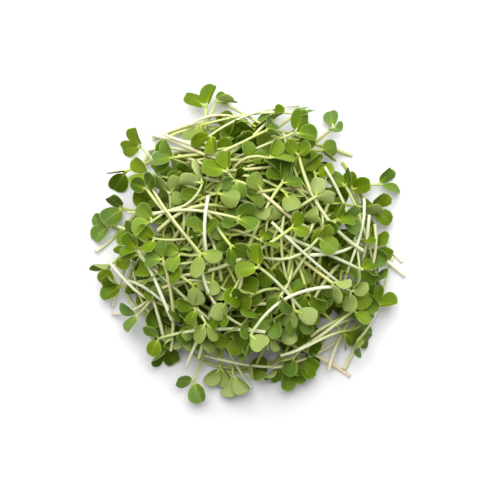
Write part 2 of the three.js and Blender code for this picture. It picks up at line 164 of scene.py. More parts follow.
BENEATH = [
    (-37, 41, 170, 45, 0, 340, 48, 2, 0.5),
    (-21.5, 56, 250, 40, 175, 10, 46, 2, 0.5),
    (-54, 3, 150, 40, 20, 330, 48, 0, 0.4),
    (-47.5, 33, 170, 35, 0, 350, 51, -2, 0.5),
    (-51.5, 16, 60, 30, 15, 250, 48, 0, 0.5),
    (-24.5, -3, 145, 40, 0, 320, 46, 2, 0.6),
    (24.5, 49.5, 335, 30, 10, 215, 46, -2, 0.5),
    (5, 53, 170, 35, 10, 350, 48, 2, 0.4),
    (37, 47.5, 340, 30, 50, 165, 48, 3, 0.5),
    (30.5, 7.5, 0, 40, 10, 200, 46, 0, 0.5),
    (3, 22, 345, 40, 170, 230, 51, 2, 0.5),
    (7.5, 35, 30, 35, 0, 220, 48, 0, 0.8),
    (18, -23, 80, 30, 10, 250, 46, 2, 0.6),
    (54, -29.5, 300, 25, 40, 110, 48, -2, 0.5),
    (47.5, -43.5, 300, 35, 60, 130, 48, 2, 0.4),
    (14, -34, 0, 40, 10, 180, 48, 2, 0.5),
    (5, -43, 290, 30, 0, 90, 51, 0, 0.6),
    (14, -43.5, 80, 40, 20, 330, 42, 2, 0.6),
    (-28.5, -9.5, 190, 35, 0, 10, 46, 2, 0.6),
    (-35, -27.5, 290, 30, 15, 100, 48, 0, 0.4),
    (-24.5, -39, 270, 35, 0, 70, 46, 3, 0.6),
    (-31.5, -43, 270, 20, 160, 80, 48, 0, 0.5),
    (-7.5, -44.5, 250, 45, 5, 30, 48, 2, 0.6),
    (-57, -4, 200, 40, 30, 10, 48, 2, 0.4),
]
AT_THE_RIM = [
    (-20, 67.5, 112, 28, 0, 270, 50, 0, 0.5),
    (-14, 70.5, 8, 25, 70, 243, 46, 2, 0.5),
    (-52, 48, 148, 42, 45, 310, 52, 0, 0.4),
    (-58.5, 32.5, 210, 12, 60, 20, 46, 2, 0.5),
    (-61.5, 18, 178, 28, 15, 0, 49, -2, 0.4),
    (-67.5, 9.5, 188, 35, 0, 345, 46, -2, 0.6),
    (-56, 24, 60, 40, 30, 234, 36, 2, 0.8),
    (12, 62, 60, 65, 70, 255, 50, 2, 0.4),
    (25, 64.5, 20, 60, 75, 220, 48, -2, 0.4),
    (43, 57.5, 37, 70, 50, 217, 50, 2, 0.4),
    (66, 30, 15, 38, 15, 178, 50, 3, 0.5),
    (53.5, 27, 57, 42, 10, 285, 50, 2, 0.5),
    (57, 14.5, 15, 30, 70, 250, 46, 0, 0.4),
    (63.5, 3, 60, 60, 35, 195, 46, 4, 0.4),
    (63.5, -2, 305, 28, 5, 165, 46, -4, 0.6),
    (47, -2, 160, 35, 10, 335, 35, 2, 0.9),
    (64.5, -30, 45, 40, 0, 200, 48, 3, 0.4),
    (64, -18.5, 75, 15, 45, 250, 46, 2, 0.5),
    (54, -48.5, 290, 70, 60, 68, 46, -4, 0.4),
    (20, -63.5, 300, 43, 0, 110, 50, 2, 0.5),
    (16.5, -60, 240, 25, 50, 60, 46, 2, 0.5),
    (26, -56, 290, 30, 20, 100, 46, -2, 0.5),
    (51, -29, 30, 35, 10, 245, 42, -3, 0.9),
    (0, -61, 330, 25, 45, 130, 46, 2, 0.5),
    (-67.5, -10.5, 205, 50, 40, 25, 50, 2, 0.4),
    (-39.5, -50, 265, 30, 35, 80, 46, 2, 0.5),
    (-26.5, -67.5, 235, 57, 15, 60, 50, 2, 0.4),
    (-13, -61, 270, 25, 180, 85, 46, 0, 0.4),
    (-6.5, -65, 265, 22, 150, 75, 46, 2, 0.5),
    (-50, -40.5, 305, 20, 60, 60, 46, 2, 0.5),
    (2, 60, 30, 40, 20, 190, 50, -6, 0.2),
    (-9, 56, 75, 35, 15, 196, 44, -8, 0.3),
    (60, -4, 290, 35, 20, 105, 46, -5, 0.2),
    (-34, -51, 150, 38, 10, 350, 46, -7, 0.2),
    (36, -51, 10, 38, 15, 192, 46, 7, 0.2),
    (48, 18, 130, 35, 15, 322, 40, 1, 0.5),
]

# The layers, with the share of the mound's height at which each lies.
LAYERS = [(ON_TOP, 1), (BENEATH, 0.72), (AT_THE_RIM, 0.4)]

# More stems that can be told apart, whose leaves are hidden: the crown's x and y, the way from there to
# the foot, the stem's length, how far it bows to its left, and how deep its crown dives.
CROSSING = [
    (4, 56, 184, 50, -6, 0.6),
    (-8, 48, 170, 31, 3, 0.6),
    (6, 58, 182, 34, -6, 0.7),
    (50, -28, 77, 43, -3, 0.6),
    (47, -22, 77, 45, -2, 0.5),
    (56, -26, 80, 37, -3, 0.6),
    (28, -59, 176, 49, 4.5, 0.5),
    (54.5, -39, 209, 48, 3.6, 0.6),
    (55, -26, 247, 38, 1, 0.6),
    (-30, 4, 168, 41, 3, 0.6),
    (-34, -32, 142, 39, 3.6, 0.6),
    (-41, -37, 109, 33, 13, 0.5),
    (30, 38.5, 186, 42, -2.5, 0.3),
    (18, 6, 158, 43, 9, 0.4),
    (22, 42, 198, 30, -2, 0.4),
    (25, 30, 261, 27, 0, 0.4),
    (56, 3, 200, 29, 2.8, 0.5),
    (53, -33, 212, 26, 0, 0.6),
    (-22, -44, 60, 40, -4, 0.5),
    (-14, -20, 95, 44, 3, 0.4),
    (22, 55, 157, 38, 2, 0.6),
    (-1, 37, 126, 32, -10, 0.3),
    (-14, 44, 175, 34, -1, 0.5),
    (-8, 53, 178, 38, 3, 0.5),
    (52, -33, 214, 40, 2, 0.4),
    (50, -42, 203, 36, -2, 0.5),
    (34, 34, 262, 34, 3, 0.4),
    (-2, -30, 168, 40, -7, 0.4),
    (-4, 49, 176, 36, 4, 0.4),
    (-9, 44, 186, 32, -4, 0.4),
    (1, 42, 165, 38, 4, 0.4),
    (-36, -30, 128, 38, -4, 0.5),
    (-44, -30, 100, 34, 5, 0.5),
    (-38, -40, 122, 36, 5, 0.6),
    (-30, -36, 150, 36, -4, 0.6),
    (-40, -22, 205, 28, 3, 0.5),
    (-46, -14, 285, 34, -3, 0.6),
]


def random_from(seed):
    """Pseudo-random numbers from 0 to 1, the same as the solids' own."""
    state = seed

    def draw():
        nonlocal state
        state = (state * 1664525 + 1013904223) & 0xFFFFFFFF
        return state / 4294967296

    return draw


def unit(v):
    """Vectors at length 1, along the last axis."""
    return v / np.linalg.norm(v, axis=-1, keepdims=True)


def polar(out, degrees):
    """The x and y of a place at a distance and a direction from the middle."""
    return out * math.cos(math.radians(degrees)), out * math.sin(math.radians(degrees))


def heap_height(x, y):
    """How high the top of the heap stands over a point of the table."""
    inside = 1 - (x * x + y * y) / (HEAP_RADIUS * HEAP_RADIUS)
    return HEAP_HEIGHT * max(inside, 0) ** MOUND_POWER


def dived(share, crown_dives):
    """How much of its dive a stem has taken at a share of the way from its crown to its foot.

    The foot takes all of it. On a stem whose crown dives, the crown takes all of it and the foot 0.6.
    """
    if crown_dives:
        return max(1 - 2 * share, 1.2 * share - 0.6)
    return share


def stem_of(row, level, draw, crown_dives):
    """A stem's four control points from foot to crown, a third of its length apart.

    They are set aside by the stem's bow and its sway, and lie at the mound's height times the level,
    less the dive. A stem that would run off under its own leaves leaves the crown backwards first.
    """
    x, y, heading, _, _, stem_to, length, bow, dive = row
    sway = (2 * draw() - 1) * SWAY * (0.3 + dive)
    way_x, way_y = polar(1, stem_to)
    ahead_x, ahead_y = polar(1, heading)
    hook = HOOK * max(0, 0.5 + way_x * ahead_x + way_y * ahead_y)
    control = np.empty((4, 3))
    for third, aside in enumerate((0, bow * 4 / 3 + sway, bow * 4 / 3 - sway, 0)):
        reach = length * third / 3
        back = hook * reach if third == 1 else 0
        px = x + way_x * reach - way_y * aside - ahead_x * back
        py = y + way_y * reach + way_x * aside - ahead_y * back
        sunk = 1 - DIVE_DEPTH * dive * dived(third / 3, crown_dives)
        rim = RIM_HEIGHT * (1 - third / 6)
        control[3 - third] = px, py, max(rim, heap_height(px, py) * level * sunk)
    return control


def leaves_of(row, draw):
    """The two leaves' frames (along, across, face) and the sprout's size.

    The pair points ahead, pitched, and rolled about that way. Each leaf is spread to its own side,
    folded up, and twisted about its length, as far as keeps the two apart at their base.
    """
    heading, half_spread, roll = row[2:5]
    ahead_x, ahead_y = polar(1, heading)
    spin = math.radians(roll)
    pitch = math.radians(PITCH_FROM + PITCH_RANGE * draw())
    fold = math.radians(MOST_FOLD * draw())
    size = SIZE_FROM + SIZE_RANGE * draw()
    spread = math.radians(max(half_spread, LEAST_SPREAD))
    clear = min((math.tan(spread) - 0.1) / BASE_WIDTH_TO_REACH, 1)
    twist = max(math.acos(clear), math.radians(MOST_TWIST * draw()))
    lift = math.sin(pitch)
    ahead = np.array([ahead_x * math.cos(pitch), ahead_y * math.cos(pitch), lift])
    upright = unit(np.array([0, 0, 1]) - lift * ahead)
    normal = math.cos(spin) * upright + math.sin(spin) * np.cross(upright, ahead)
    left = np.cross(normal, ahead)
    leaves = []
    for hand in (1, -1):
        out = hand * math.cos(fold) * left + math.sin(fold) * normal
        along = math.cos(spread) * ahead + math.sin(spread) * out
        flat = math.cos(fold) * normal - hand * math.sin(fold) * left
        across = np.cross(flat, along)
        face = math.cos(twist) * flat - hand * math.sin(twist) * across
        leaves.append((along, math.cos(twist) * across + hand * math.sin(twist) * flat, face))
    return np.array(leaves), size


def sprout_from(row, level, draw, crown_dives=False):
    """One row's sprout: its stem's control points, its two leaves' frames and its size."""
    control = stem_of(row, level, draw, crown_dives)
    return control, *leaves_of(row, draw)


def bottom_row(index, draw):
    """A hidden sprout that the others lie on, placed by the golden angle."""
    turn = (index * GOLDEN_ANGLE) % 360
    x, y = polar(14 + 36 * math.sqrt((index + 0.5) / BOTTOM_SPROUTS), turn)
    heading = turn - 60 + 120 * draw()
    stem_to = heading + 150 + 60 * draw()
    half_spread = 30 + 25 * draw()
    roll = -30 + 60 * draw()
    length = 36 + 10 * draw()
    bow = -4 + 8 * draw()
    return x, y, heading, half_spread, roll, stem_to, length, bow, 0.5


def inner_row(index, draw):
    """A sprout between and behind the others: a third of them show their undersides."""
    turn = (index * GOLDEN_ANGLE + 40) % 360
    share = math.sqrt((index + 0.5) / INNER_SPROUTS)
    x, y = polar(INNER_REACH * share, turn)
    heading = turn + (140 - 80 * share) * (2 * draw() - 1)
    upside = 180 if draw() < UNDERSIDE_SHARE else 0
    half_spread = 38 + 16 * draw()
    roll = upside - 60 + 120 * draw()
    stem_to = heading + 150 + 60 * draw()
    length = 26 + 12 * draw()
    bow = -8 + 16 * draw()
    dive = 0.1 + 0.7 * draw()
    return x, y, heading, half_spread, roll, stem_to, length, bow, dive


def crossing_row(row, draw):
    """One of the listed stems, with its leaves pointing on beyond it."""
    x, y, stem_to, length, bow, dive = row
    heading = stem_to + 150 + 60 * draw()
    half_spread = 40 + 10 * draw()
    roll = -60 + 120 * draw()
    return x, y, heading, half_spread, roll, stem_to, length, bow, dive


def stray_row(index, draw):
    """A stem that crosses over the others, with its leaves hidden among them."""
    turn = (index * GOLDEN_ANGLE + 75) % 360
    x, y = polar(STRAY_REACH * math.sqrt((index + 0.5) / STRAY_SPROUTS), turn)
    heading = 360 * draw()
    shift_x, shift_y = polar(STRAY_SHIFT, heading)
    half_spread = 40 + 10 * draw()
    roll = -60 + 120 * draw()
    stem_to = heading + 165 + 30 * draw()
    length = 40 + 10 * draw()
    bow = -9 + 18 * draw()
    dive = 0.5 + 0.4 * draw()
    return x + shift_x, y + shift_y, heading, half_spread, roll, stem_to, length, bow, dive


class Sprouts:
    """Many sprouts as arrays: control points, leaf frames (along, across, face) and sizes."""

    def __init__(self, control, leaves, size):
        self.control, self.leaves, self.size = control, leaves, size

    @classmethod
    def gathered(cls, made):
        """From a list of single sprouts."""
        return cls(*(np.array(values) for values in zip(*made)))

    def some(self, members):
        """Some of the sprouts, by their numbers."""
        return Sprouts(self.control[members], self.leaves[members], self.size[members])

    def with_more(self, others):
        """These sprouts and then the others."""
        both = zip(vars(self).values(), vars(others).values())
        return Sprouts(*(np.concatenate(pair) for pair in both))


def drawn_sprouts():
    """The sprouts that the solids stand for."""
    draw = random_from(SEED)
    made = [sprout_from(row, level, draw) for rows, level in LAYERS for row in rows]
    for index in range(BOTTOM_SPROUTS):
        row = bottom_row(index, draw)
        level = 0.15 + 0.45 * draw()
        made.append(sprout_from(row, level, draw))
    return Sprouts.gathered(made)


def inner_sprouts():
    """The sprouts that only the looks hold."""
    draw = random_from(INNER_SEED)
    made = []
    for index in range(INNER_SPROUTS):
        row = inner_row(index, draw)
        level = 0.15 + 0.72 * draw()
        made.append(sprout_from(row, level, draw))
    rows = [crossing_row(row, draw) for row in CROSSING]
    rows += [stray_row(index, draw) for index in range(STRAY_SPROUTS)]
    for row in rows:
        level = 0.75 + 0.25 * draw()
        made.append(sprout_from(row, level, draw, crown_dives=True))
    return Sprouts.gathered(made)


def stem_weights(t):
    """Bernstein weights of the four control points at shares t of the stem's curve."""
    u = 1 - t
    return np.stack([u * u * u, 3 * u * u * t, 3 * u * t * t, t * t * t], axis=-1)


def outline_at(degrees, share, half_width=HALF_WIDTH, wider_at_tip=WIDER_AT_TIP, notch_depth=NOTCH_DEPTH):
    """The blade at angles about its middle and at shares of the way to its rim, for a leaf of size 1.

    Along: petiole + half length (1 + share cos a (1 - notch)), with a notch that falls off as
    exp(-(a / notch half angle)^2). Across: half width share sin a (1 + wider at tip cos a).
    """
    angle = np.radians(degrees)
    notch = notch_depth * np.exp(-((degrees / NOTCH_HALF_ANGLE) ** 2))
    along = HALF_LENGTH * np.cos(angle) * (1 - notch)
    across = half_width * np.sin(angle) * (1 + wider_at_tip * np.cos(angle))
    return PETIOLE + HALF_LENGTH + along * share, across * share


# Balls down a stem, and over a blade: one in its middle, a ring of 6 halfway out and 9 near the rim.
STEM_BALLS = stem_weights(np.linspace(0, 1, BALLS_ON_STEM))
BALL_ANGLES = np.array([0.0] + [0, 60, 120, 180, -120, -60] + [0, 40, 80, 120, 160, -160, -120, -80, -40])
BALL_SHARES = np.array([0.0] + [0.5] * 6 + [0.9] * 9)
LEAF_BALLS = np.stack(outline_at(BALL_ANGLES, BALL_SHARES), axis=-1)
CROWN_WEIGHTS = np.array([0, 0, 0.5, 1])
BALL_WEIGHTS = np.concatenate([STEM_BALLS, np.tile(CROWN_WEIGHTS, (2 * len(LEAF_BALLS), 1))])
BALL_RADII = np.array([STEM_CONTACT] * len(STEM_BALLS) + [LEAF_CONTACT] * 2 * len(LEAF_BALLS))

# The grid in which touching balls are looked up: how a cell is numbered, and the steps to the 27 cells
# round and including it.
CELL = 2 * STEM_CONTACT + GAP
CELLS_TO_MIDDLE = 512
CELL_STRIDES = np.array([1 << 20, 1 << 10, 1])
STEPS_ROUND = (np.indices((3, 3, 3)).reshape(3, -1).T - 1) @ CELL_STRIDES


def balls_of(sprouts):
    """Where stems and leaves can touch: balls down each stem and over each blade."""
    on_stems = np.einsum("bk,nkx->nbx", STEM_BALLS, sprouts.control)
    reach = LEAF_BALLS[None] * sprouts.size[:, None, None]
    on_leaves = np.einsum("nbc,nlcx->nlbx", reach, sprouts.leaves[:, :, :2])
    on_leaves = on_leaves + sprouts.control[:, None, None, 3]
    return np.concatenate([on_stems, on_leaves.reshape(len(on_stems), -1, 3)], axis=1)


def near_pairs(at):
    """Every ordered pair of balls in the same or a neighbouring cell of a cubic grid."""
    cell = np.floor(at / CELL).astype(np.int64) + CELLS_TO_MIDDLE
    key = cell @ CELL_STRIDES
    order = np.argsort(key, kind="stable")
    ranked = key[order]
    wanted = (key[:, None] + STEPS_ROUND).ravel()
    low = np.searchsorted(ranked, wanted, "left")
    count = np.searchsorted(ranked, wanted, "right") - low
    place = np.repeat(low - np.cumsum(count) + count, count) + np.arange(count.sum())
    return np.repeat(np.arange(len(wanted)) // len(STEPS_ROUND), count), order[place]


def push_apart(sprouts, partner, free):
    """Pushes balls that are too close apart, each sprout's own weighed up over its control points."""
    at = balls_of(sprouts)
    number, per_sprout = at.shape[:2]
    at = at.reshape(-1, 3)
    one, other = near_pairs(at)
    keep = (one // per_sprout != other // per_sprout) & (partner[one // per_sprout] != other // per_sprout)
    one, other = one[keep], other[keep]
    apart = at[one] - at[other]
    distance = np.linalg.norm(apart, axis=1)
    radius = np.tile(BALL_RADII, number)
    short = radius[one] + radius[other] + GAP - distance
    hit = short > 0
    one, apart = one[hit], apart[hit] * (0.5 * short[hit] / distance[hit])[:, None]
    push = np.stack([np.bincount(one, apart[:, k], number * per_sprout) for k in range(3)], axis=1)
    times = np.bincount(one, minlength=number * per_sprout).astype(float)
    under = radius - PRESSED - at[:, 2]
    low = under > 0
    push[low, 2] += under[low]
    times[low] += 1
    total = np.einsum("bk,nbx->nkx", BALL_WEIGHTS, push.reshape(number, per_sprout, 3))
    weight = np.einsum("bk,nb->nk", BALL_WEIGHTS, times.reshape(number, per_sprout))
    moved = total * (PUSH / np.maximum(weight, 1))[:, :, None]
    sprouts.control[free] += moved[free]


# The pairs of control points whose distances hold a stem's length and curve.
SPANS = [(0, 1), (1, 2), (2, 3), (0, 2), (1, 3), (0, 3)]


def keep_shape(control, spans):
    """Keeps each stem its length and its curve, but for a little give."""
    for (a, b), span in zip(SPANS, spans):
        between = control[:, b] - control[:, a]
        now = np.linalg.norm(between, axis=1)
        move = between * (0.5 * STIFFNESS * (now - span) / now)[:, None]
        control[:, a] += move
        control[:, b] -= move


def closest(one, other):
    """Where two stems come closest: the distance, the balls' indices and their places."""
    p, q = STEM_BALLS @ one, STEM_BALLS @ other
    distance = np.linalg.norm(p[:, None] - q[None], axis=2)
    i, j = np.unravel_index(np.argmin(distance), distance.shape)
    return distance[i, j], i, j, p[i], q[j]


def bring_together(control, a, b):
    """Bends two stems until they press on each other where they cross."""
    distance, i, j, p, q = closest(control[a], control[b])
    pull = (q - p) * (0.5 * (distance - TOUCH) / distance)
    for sprout, ball, sign in ((a, i, 1), (b, j, -1)):
        weights = STEM_BALLS[ball]
        control[sprout] += (sign * weights / (weights @ weights))[:, None] * pull


def pair_up(control):
    """Each sprout's partner: the nearest stem that has none yet."""
    partner = np.full(len(control), -1)
    for a in range(len(control)):
        if partner[a] >= 0:
            continue
        others = [b for b in range(a + 1, len(control)) if partner[b] < 0]
        if others:
            b = min(others, key=lambda other: closest(control[a], control[other])[0])
            partner[a], partner[b] = b, a
    return partner


def settle(sprouts, partner, steps, free):
    """Lets the heap settle: the sprouts sink, push each other and the table away, and spring back."""
    drawn = sprouts.control.copy()
    control = sprouts.control
    pairs = [(a, b) for a, b in enumerate(partner) if a < b and free[a]]
    spans = None
    for step in range(steps):
        ease = 1 if step < steps * FIRM_SHARE else LOOSENED
        push_apart(sprouts, partner, free)
        moving = control[free]
        moving[:, :, :2] += ease * HOME * (drawn[free][:, :, :2] - moving[:, :, :2])
        moving[:, :, 2] -= ease * FALL
        if spans is None:
            spans = [np.linalg.norm(moving[:, a] - moving[:, b], axis=1) for a, b in SPANS]
        keep_shape(moving, spans)
        control[free] = moving
        for a, b in pairs:
            bring_together(control, a, b)


def closed_rows(rows, sides):
    """Faces of rows of points round a closed ring, with a single point before and after them."""
    ring = np.arange(sides)
    after = (ring + 1) % sides
    start = 1 + sides * np.arange(rows - 1)[:, None]
    quads = np.stack([start + ring, start + sides + ring, start + sides + after, start + after], axis=-1)
    last = rows * sides + 1
    first_fan = np.stack([np.zeros(sides, int), 1 + ring, 1 + after], axis=-1)
    last_fan = np.stack([np.full(sides, last), last - sides + after, last - sides + ring], axis=-1)
    return quads.reshape(-1, 4), np.concatenate([first_fan, last_fan])


def with_poles(rings, first, last):
    """Points of rings (number, rows, sides, 3) flattened between one point before and one after."""
    flat = rings.reshape(len(rings), -1, 3)
    return np.concatenate([first[:, None], flat, last[:, None]], axis=1)


# How finely a sprout is made: one that can be told apart from above, and one of the inner ones. A stem
# has its sides and steps, a stalk its sides, and a blade its sides and the shares of its rings.
FINE = {"stem": (8, 14), "stalk": 6, "blade": (20, (0.4, 0.75, 0.95))}
COARSE = {"stem": (6, 8), "stalk": 5, "blade": (12, (0.55, 0.94))}

# Rings at a stem's ends, as a place and a share of its radius: up the curve from the foot to the first
# plain ring, and in millimetres past the crown, whose tip comes last. Then how thick each end is.
FOOT_ROWS = [(0.0, 0.55), (0.0, 0.93), (0.008, 1.0)]
FIRST_PLAIN_RING = 0.04
CROWN_ROWS = [(0.5, 0.86), (0.85, 0.55)]
CROWN_TIP = 0.95
FOOT_GIRTH = 1.1
CROWN_GIRTH = 0.88


def stem_surface(sprouts, girth, sides, steps):
    """Round stems: a circle carried along each curve, thinner by a fifth at the crown.

    The foot is cut square, and the crown end is rounded over. Returns the points, and for each point
    how far up the stem it is, and whether it is on the cut.
    """
    control = sprouts.control
    share = np.concatenate([[t for t, _ in FOOT_ROWS], np.linspace(FIRST_PLAIN_RING, 1, steps)])
    scale = np.concatenate([[r for _, r in FOOT_ROWS], np.ones(steps)])
    middle = np.einsum("tk,nkx->ntx", stem_weights(share), control)
    legs = np.diff(control, axis=1)
    u = 1 - share
    slope = np.stack([u * u, 2 * u * share, share * share], axis=-1)
    tangent = unit(np.einsum("tk,nkx->ntx", slope, legs))
    past = np.array([along for along, _ in CROWN_ROWS])
    tip = control[:, None, 3] + tangent[:, -1:] * past[None, :, None]
    middle = np.concatenate([middle, tip], axis=1)
    tangent = np.concatenate([tangent, np.repeat(tangent[:, -1:], len(past), axis=1)], axis=1)
    taper = FOOT_GIRTH - (FOOT_GIRTH - CROWN_GIRTH) * share
    radius = STEM_RADIUS * np.concatenate([scale * taper, [CROWN_GIRTH * r for _, r in CROWN_ROWS]])
    normal = sprouts.leaves[:, :, 2].sum(axis=1)
    rings = np.empty((len(control), middle.shape[1], sides, 3))
    turn = 2 * np.pi * np.arange(sides) / sides
    for row in reversed(range(middle.shape[1])):
        way = tangent[:, row]
        normal = unit(normal - (normal * way).sum(axis=1, keepdims=True) * way)
        side = np.cross(normal, way)
        circle = side[:, None] * np.cos(turn)[None, :, None] - normal[:, None] * np.sin(turn)[None, :, None]
        rings[:, row] = middle[:, None, row] + radius[row] * girth[:, None, None] * circle
    top = control[:, 3] + tangent[:, -1] * CROWN_TIP
    points = with_poles(rings, middle[:, 0], top)
    up = np.concatenate([[0], np.repeat(np.concatenate([share, [1] * len(past)]), sides), [1]])
    on_cut = np.zeros(len(up))
    on_cut[: 1 + 2 * sides] = 1
    return points, up, on_cut, closed_rows(middle.shape[1], sides)


# How softly a blade's fold is rounded off at the midrib, and how far that lifts it, in millimetres.
FOLD_ROUNDING = 0.35
FOLD_LIFT = 0.59


class LeafForms:
    """Each leaf's own small differences, as arrays of (sprouts, 2 leaves), and each stem's girth."""

    def __init__(self, number, seed):
        rng = np.random.default_rng(seed)
        shape = (number, 2)
        self.cup = rng.uniform(-0.005, 0.07, shape)
        self.fold = -0.08 + 0.95 * rng.uniform(0, 1, shape) ** 2
        self.droop = rng.uniform(-0.012, 0.03, shape)
        self.wave = rng.uniform(0.05, 0.5, shape)
        self.phase = rng.uniform(0, 2 * np.pi, shape)
        self.lopsided = rng.uniform(-0.06, 0.06, shape)
        self.notch = rng.uniform(0.05, 0.26, shape)
        self.half_width = rng.uniform(3.9, 4.6, shape)
        self.wider_at_tip = rng.uniform(0.02, 0.3, shape)
        self.apart = rng.permuted(np.tile([0.2, -0.2], (number, 1)), axis=1)
        self.scale = rng.uniform(0.86, 1.1, shape)
        self.girth = rng.uniform(0.78, 1.08, number)

    def some(self, members):
        """The forms of some of the sprouts, by their numbers."""
        few = copy.copy(self)
        for name, value in vars(self).items():
            setattr(few, name, value[members])
        return few

    def height(self, along, across, share, degrees):
        """How far the blade rises over its plane.

        cup across^2 + fold |across| (rounded off at the midrib) - droop (along - petiole)^2
        + wave share^3 sin(3 a + phase) + apart, by which one leaf of the pair lies over the other.
        """
        cup, fold, droop, wave, phase, apart = (
            v[:, :, None] for v in (self.cup, self.fold, self.droop, self.wave, self.phase, self.apart)
        )
        rise = cup * across**2 + fold * (np.sqrt(across**2 + FOLD_ROUNDING) - FOLD_LIFT)
        rise = rise - droop * np.maximum(along - PETIOLE, 0) ** 2
        rise = rise + apart * np.clip(along / PETIOLE, 0, 1)
        return rise + wave * share**3 * np.sin(3 * np.radians(degrees) + phase)


# Half of a blade's thickness in its middle.
BLADE_HALF_THICKNESS = 0.27


def blade_surface(sprouts, forms, sides, shares):
    """Leaf blades: for each angle about the middle, a profile out over the face, round the rim and
    back over the underside, with a thickness of sqrt(1 - share^4).

    Returns the points, and for each point its place along and across the blade, its share of the way
    to the rim, and whether it is on the underside.
    """
    out = np.array([*shares, 1.0, *shares[::-1]])
    side = np.array([1.0] * len(shares) + [0.0] + [-1.0] * len(shares))
    degrees = -180 + 360 * (np.arange(sides) + 0.5) / sides
    share, angle = (grid.ravel() for grid in np.meshgrid(out, degrees, indexing="ij"))
    sign = np.repeat(side, sides)
    share = np.concatenate([[0], share, [0]])
    angle = np.concatenate([[0], angle, [0]])
    sign = np.concatenate([[1], sign, [-1]])
    width, wider, notch = (v[:, :, None] for v in (forms.half_width, forms.wider_at_tip, forms.notch))
    along, across = outline_at(angle, share, width, wider, notch)
    off_middle = (across / width).reshape(-1, len(share))
    across = across * (1 + forms.lopsided[:, :, None] * np.sign(across))
    thick = BLADE_HALF_THICKNESS * np.sqrt(1 - np.minimum(share, 1) ** 4) * sign
    rise = forms.height(along, across, share, angle) + thick
    size = (sprouts.size[:, None] * forms.scale)[:, :, None]
    local = np.stack(np.broadcast_arrays(along * size, across * size, rise * size), axis=-1)
    points = np.einsum("nlpc,nlcx->nlpx", local, sprouts.leaves) + sprouts.control[:, None, None, 3]
    place = (along.reshape(-1, len(share)) - PETIOLE) / (2 * HALF_LENGTH), off_middle
    return points, place, share, (sign < 0).astype(float), closed_rows(len(out), sides)


# A leaf stalk's rings: how far along the leaf they are, their radius, and how far under the blade's plane.
# Then how much wider and flatter than round a stalk is.
STALK_ALONG = np.array([-0.3, 0.3, 0.9, 1.5, 2.2, 3.0, 4.2])
STALK_RADIUS = np.array([0.62, 0.72, 0.7, 0.64, 0.5, 0.34, 0.12])
STALK_DROP = np.array([0, 0, 0, 0, 0.06, 0.16, 0.22])
STALK_WIDER = 1.1
STALK_FLATTER = 0.85


def stalk_surface(sprouts, forms, sides):
    """Leaf stalks: an oval carried from the crown to the blade, which tapers off under it."""
    turn = 2 * np.pi * np.arange(sides) / sides
    rise = forms.height(STALK_ALONG, np.zeros(len(STALK_ALONG)), 0.0, 0.0) - STALK_DROP
    across = STALK_WIDER * STALK_RADIUS[:, None] * np.cos(turn)
    over = rise[..., None] + STALK_FLATTER * STALK_RADIUS[:, None] * np.sin(turn)
    size = (sprouts.size[:, None] * forms.scale)[:, :, None, None]
    local = np.stack(np.broadcast_arrays(STALK_ALONG[:, None] * size, across * size, over * size), axis=-1)
    rings = np.einsum("nlpsc,nlcx->nlpsx", local, sprouts.leaves)
    rings = rings + sprouts.control[:, None, None, None, 3]
    first, last = rings[:, :, 0].mean(axis=2), rings[:, :, -1].mean(axis=2)
    flat = rings.reshape(len(rings), 2, -1, 3)
    points = np.concatenate([first[:, :, None], flat, last[:, :, None]], axis=2)
    return points, closed_rows(len(STALK_ALONG), sides)


def painted_shade_share(points):
    """The share of painted shade at points, by how far they are shut in by what lies over them: 0 at the
    heap's top and rim, 1 far inside.
    """
    inside = np.maximum(1 - (points[:, 0] ** 2 + points[:, 1] ** 2) / (HEAP_RADIUS * MM) ** 2, 0)
    top = HEAP_HEIGHT * inside**MOUND_POWER
    return np.clip((PAINTED_SHADE_FROM * top - points[:, 2] / MM) / PAINTED_SHADE_DEPTH, 0, 1)


class Skin:
    """The points, faces and surface values of one piece, gathered part by part."""

    def __init__(self):
        self.points, self.faces, self.values, self.count = [], [], [], 0

    def add(self, points, faces, material, **values):
        """Adds copies (number, points, 3) that share the same faces, with a value for every point."""
        number, size = points.shape[:2]
        first = self.count + size * np.arange(number)[:, None, None]
        for group in faces:
            self.faces.append(((group[None] + first).reshape(-1, group.shape[1]), material))
        self.points.append(points.reshape(-1, 3))
        spread = {name: np.broadcast_to(value, (number, size)).ravel() for name, value in values.items()}
        self.values.append(spread)
        self.count += number * size

    def mesh(self, name):
        """The Blender mesh, in metres, never lower than the table."""
        points = (np.concatenate(self.points) + CENTRE) * MM
        points[:, 2] = np.maximum(points[:, 2], 0)
        corners = np.concatenate([faces.ravel() for faces, _ in self.faces])
        sizes = np.concatenate([np.full(len(faces), faces.shape[1]) for faces, _ in self.faces])
        materials = np.concatenate([np.full(len(faces), index) for faces, index in self.faces])
        mesh = bpy.data.meshes.new(name)
        mesh.vertices.add(len(points))
        mesh.loops.add(len(corners))
        mesh.polygons.add(len(sizes))
        mesh.vertices.foreach_set("co", points.ravel())
        mesh.loops.foreach_set("vertex_index", corners)
        mesh.polygons.foreach_set("loop_start", np.cumsum(sizes) - sizes)
        mesh.polygons.foreach_set("material_index", materials)
        mesh.polygons.foreach_set("use_smooth", np.ones(len(sizes), bool))
        columns = {key: np.concatenate([part[key] for part in self.values]) for key in self.values[0]}
        # Each point's share of painted shade, for what lies over it.
        columns["deep"] = painted_shade_share(points)
        uv = mesh.uv_layers.new(name="UVMap")
        place = np.stack([columns.pop("across"), columns.pop("along")], axis=1)
        uv.data.foreach_set("uv", place[corners].ravel())
        for key, column in columns.items():
            mesh.attributes.new(key, "FLOAT", "POINT").data.foreach_set("value", column)
        mesh.update(calc_edges=True)
        mesh.validate()
        return mesh


